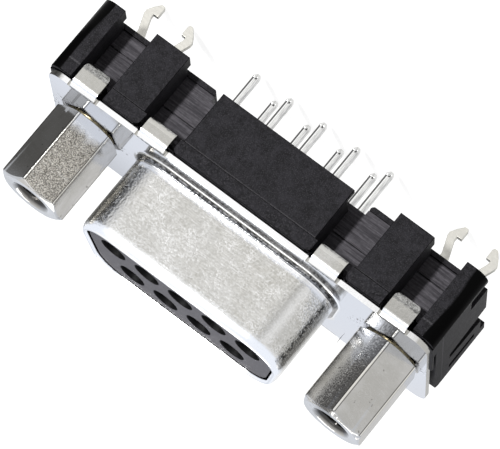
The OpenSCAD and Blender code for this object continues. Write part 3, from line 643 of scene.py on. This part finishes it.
# %% Threads
def thread(name, centre_x, mouth_z, bore_r, pitch, ridge, turns):
    """A helical ridge that stands in from a bore's wall, from its mouth down."""
    steps = 40
    mesh = bmesh.new()
    rings = []
    for i in range(int(turns * steps) + 1):
        angle = 2 * math.pi * i / steps
        z = mouth_z - pitch * i / steps
        fade = min(1, i / steps, (turns * steps - i) / steps)
        section = [(0.004, 0.44), (-ridge * fade, 0.06), (-ridge * fade, -0.06), (0.004, -0.44)]
        rings.append([mesh.verts.new(mm(centre_x + (bore_r + out) * math.cos(angle),
                                        (bore_r + out) * math.sin(angle), z + along * pitch))
                      for out, along in section])
    for one, other in zip(rings, rings[1:]):
        for k in range(4):
            mesh.faces.new((one[k], one[(k + 1) % 4], other[(k + 1) % 4], other[k]))
    mesh.faces.new(rings[0][::-1])
    mesh.faces.new(rings[-1])
    bmesh.ops.recalc_face_normals(mesh, faces=mesh.faces)
    data = bpy.data.meshes.new(name)
    mesh.to_mesh(data)
    mesh.free()
    piece = bpy.data.objects.new(name, data)
    bpy.context.scene.collection.objects.link(piece)
    piece.data.materials.append(screwlock_nickel)
    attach(piece, "root")
    return piece


hex_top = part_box("screwlock_right")[1][2] / MM
first_turn_mm, bore_r_mm, pitch_mm, ridge_mm, turns = 0.55, 1.15, 0.635, 0.2, 6
for side, name in ((-1, "thread_left"), (1, "thread_right")):
    piece = thread(name, side * lock_x_mm, hex_top - first_turn_mm, bore_r_mm, pitch_mm, ridge_mm, turns)
    print(name, len(piece.data.polygons), "faces")

# %% [markdown]
# ## Floor and light
#
# The connector stands on the tips of its boardlocks on a plain white floor.
# Seen by the camera or in a reflection, the floor is mostly white by itself,
# and the rest is lit, so that the shadow stays. The light is what a small
# product tent gives: a pale surround, a small key lamp low in front, and a
# large soft lamp above in front and another above behind.

# %% Floor
def bare_stage(name, corners, finish):
    """A flat piece of the studio."""
    data = bpy.data.meshes.new(name)
    data.from_pydata([tuple(c) for c in corners], [], [tuple(range(len(corners)))])
    piece = bpy.data.objects.new(name, data)
    piece.data.materials.append(finish)
    bpy.context.scene.collection.objects.link(piece)
    return piece


def seen(tree):
    """1 for what the camera sees, also by a reflection or through glass."""
    path = add(tree, "LightPath").outputs
    shown = math_node(tree, "MAXIMUM", path["Is Camera Ray"], path["Is Glossy Ray"])
    return math_node(tree, "MAXIMUM", shown, path["Is Transmission Ray"])


paper = bpy.data.materials.new("white_paper")
paper.use_nodes = True
tree = paper.node_tree
tree.nodes.clear()
bounce = add(tree, "BsdfDiffuse", {"Color": (0.6, 0.6, 0.6, 1)}).outputs[0]
shade = add(tree, "BsdfDiffuse", {"Color": (0.5, 0.5, 0.5, 1)}).outputs[0]
white = add(tree, "Emission", {"Color": (1, 1, 1, 1), "Strength": 0.9}).outputs[0]
shown = add(tree, "AddShader", {0: shade, 1: white}).outputs[0]
mixed = add(tree, "MixShader", {0: seen(tree), 1: bounce, 2: shown}).outputs[0]
add(tree, "OutputMaterial", {"Surface": mixed})

floor_z = cad_box[0][2] / MM
reach = 3000
floor_corners = [(-reach, -reach), (reach, -reach), (reach, reach), (-reach, reach)]
bare_stage("floor", [mm(x, y, floor_z) for x, y in floor_corners], paper)
print("floor at", round(floor_z, 2), "mm")

# %% Surround
world = bpy.data.worlds.new("tent")
bpy.context.scene.world = world
world.use_nodes = True
tree = world.node_tree
tree.nodes.clear()
soft = add(tree, "Background", {"Color": (1, 1, 1, 1), "Strength": 0.06}).outputs[0]
bright = add(tree, "Background", {"Color": (1, 1, 1, 1), "Strength": 1.0}).outputs[0]
mixed = add(tree, "MixShader", {0: seen(tree), 1: soft, 2: bright}).outputs[0]
add(tree, "OutputWorld", {"Surface": mixed})
print("surround:", world.name)

# %% [markdown]
# Plating shows its surroundings more than its own colour. In a plain white
# tent it would look like paper, so a low wall of cards stands round the
# connector, out of the camera's sight and seen only in reflections. Its tone
# changes round the circle, darkest on the side of the left screwlock, and
# turns to a cool white above. A wall with a colour ramp is used instead of
# separate cards, because the tones then run into each other.

# %% Wall of cards
# degrees round the part from +X, and the card's tone there
wall_tones = [(0, 0.82), (30, 0.85), (52, 0.88), (66, 0.66), (84, 0.98), (130, 0.98), (141, 0.7),
              (149, 0.16), (168, 0.06), (180, 0.14), (196, 0.12), (212, 0.42), (232, 0.36),
              (243, 0.24), (260, 0.26), (276, 0.95), (292, 0.85), (306, 0.7), (320, 0.36),
              (332, 0.7), (352, 0.8)]
cards = bpy.data.materials.new("cards")
cards.use_nodes = True
tree = cards.node_tree
tree.nodes.clear()
where = add(tree, "SeparateXYZ", {0: add(tree, "NewGeometry").outputs["Position"]}).outputs
turn = math_node(tree, "ARCTAN2", where["Y"], where["X"])
turn = math_node(tree, "FRACT", math_node(tree, "DIVIDE", turn, 2 * math.pi))
ramp = add(tree, "ValToRGB", {"Fac": turn})
stops = ramp.color_ramp.elements
for degrees, tone in wall_tones:
    stop = stops[0] if degrees == 0 else stops.new(degrees / 360)
    stop.color = (tone, tone, tone, 1)
stops[-1].color = (wall_tones[0][1],) * 3 + (1,)
above = span(tree, where["Z"], 0.007, 0.013)
tone = add(tree, "Mix", {0: above, 6: ramp.outputs["Color"], 7: (0.88, 0.92, 1, 1)}, data_type="RGBA")
glow = add(tree, "Emission", {"Color": tone.outputs[2]}).outputs[0]
add(tree, "OutputMaterial", {"Surface": glow})

wall_half_x, wall_half_y, wall_top = 36, 30, 40
ring = [(wall_half_x * math.cos(math.radians(a)), wall_half_y * math.sin(math.radians(a)))
        for a in range(0, 360, 6)]
low = [mm(x, y, floor_z) for x, y in ring]
high = [mm(x, y, wall_top) for x, y in ring]
data = bpy.data.meshes.new("wall")
count = len(ring)
data.from_pydata([tuple(c) for c in low + high], [],
                 [(i, (i + 1) % count, (i + 1) % count + count, i + count) for i in range(count)])
wall = bpy.data.objects.new("wall", data)
wall.data.materials.append(cards)
bpy.context.scene.collection.objects.link(wall)
wall.visible_camera = False
wall.visible_diffuse = False
wall.visible_shadow = False
wall.visible_transmission = False
print("wall:", count, "panels")

# %% Lamps
def lamp(name, place_mm, aim_mm, size_mm, power):
    """A square soft lamp that looks at a point."""
    light = bpy.data.lights.new(name, "AREA")
    light.size = size_mm * MM
    light.energy = power
    piece = bpy.data.objects.new(name, light)
    piece.location = mm(*place_mm)
    piece.rotation_mode = "QUATERNION"
    piece.rotation_quaternion = (mm(*aim_mm) - mm(*place_mm)).to_track_quat("-Z", "Y")
    bpy.context.scene.collection.objects.link(piece)
    return piece


lamp_aim_mm = (0, 0, 4)
lamp("key", (-95, 280, 75), lamp_aim_mm, 22, 0.8)
lamp("front", (-40, 190, 280), lamp_aim_mm, 160, 0.07)
lamp("back", (30, -200, 280), lamp_aim_mm, 200, 0.45)
print("lamps: 3")
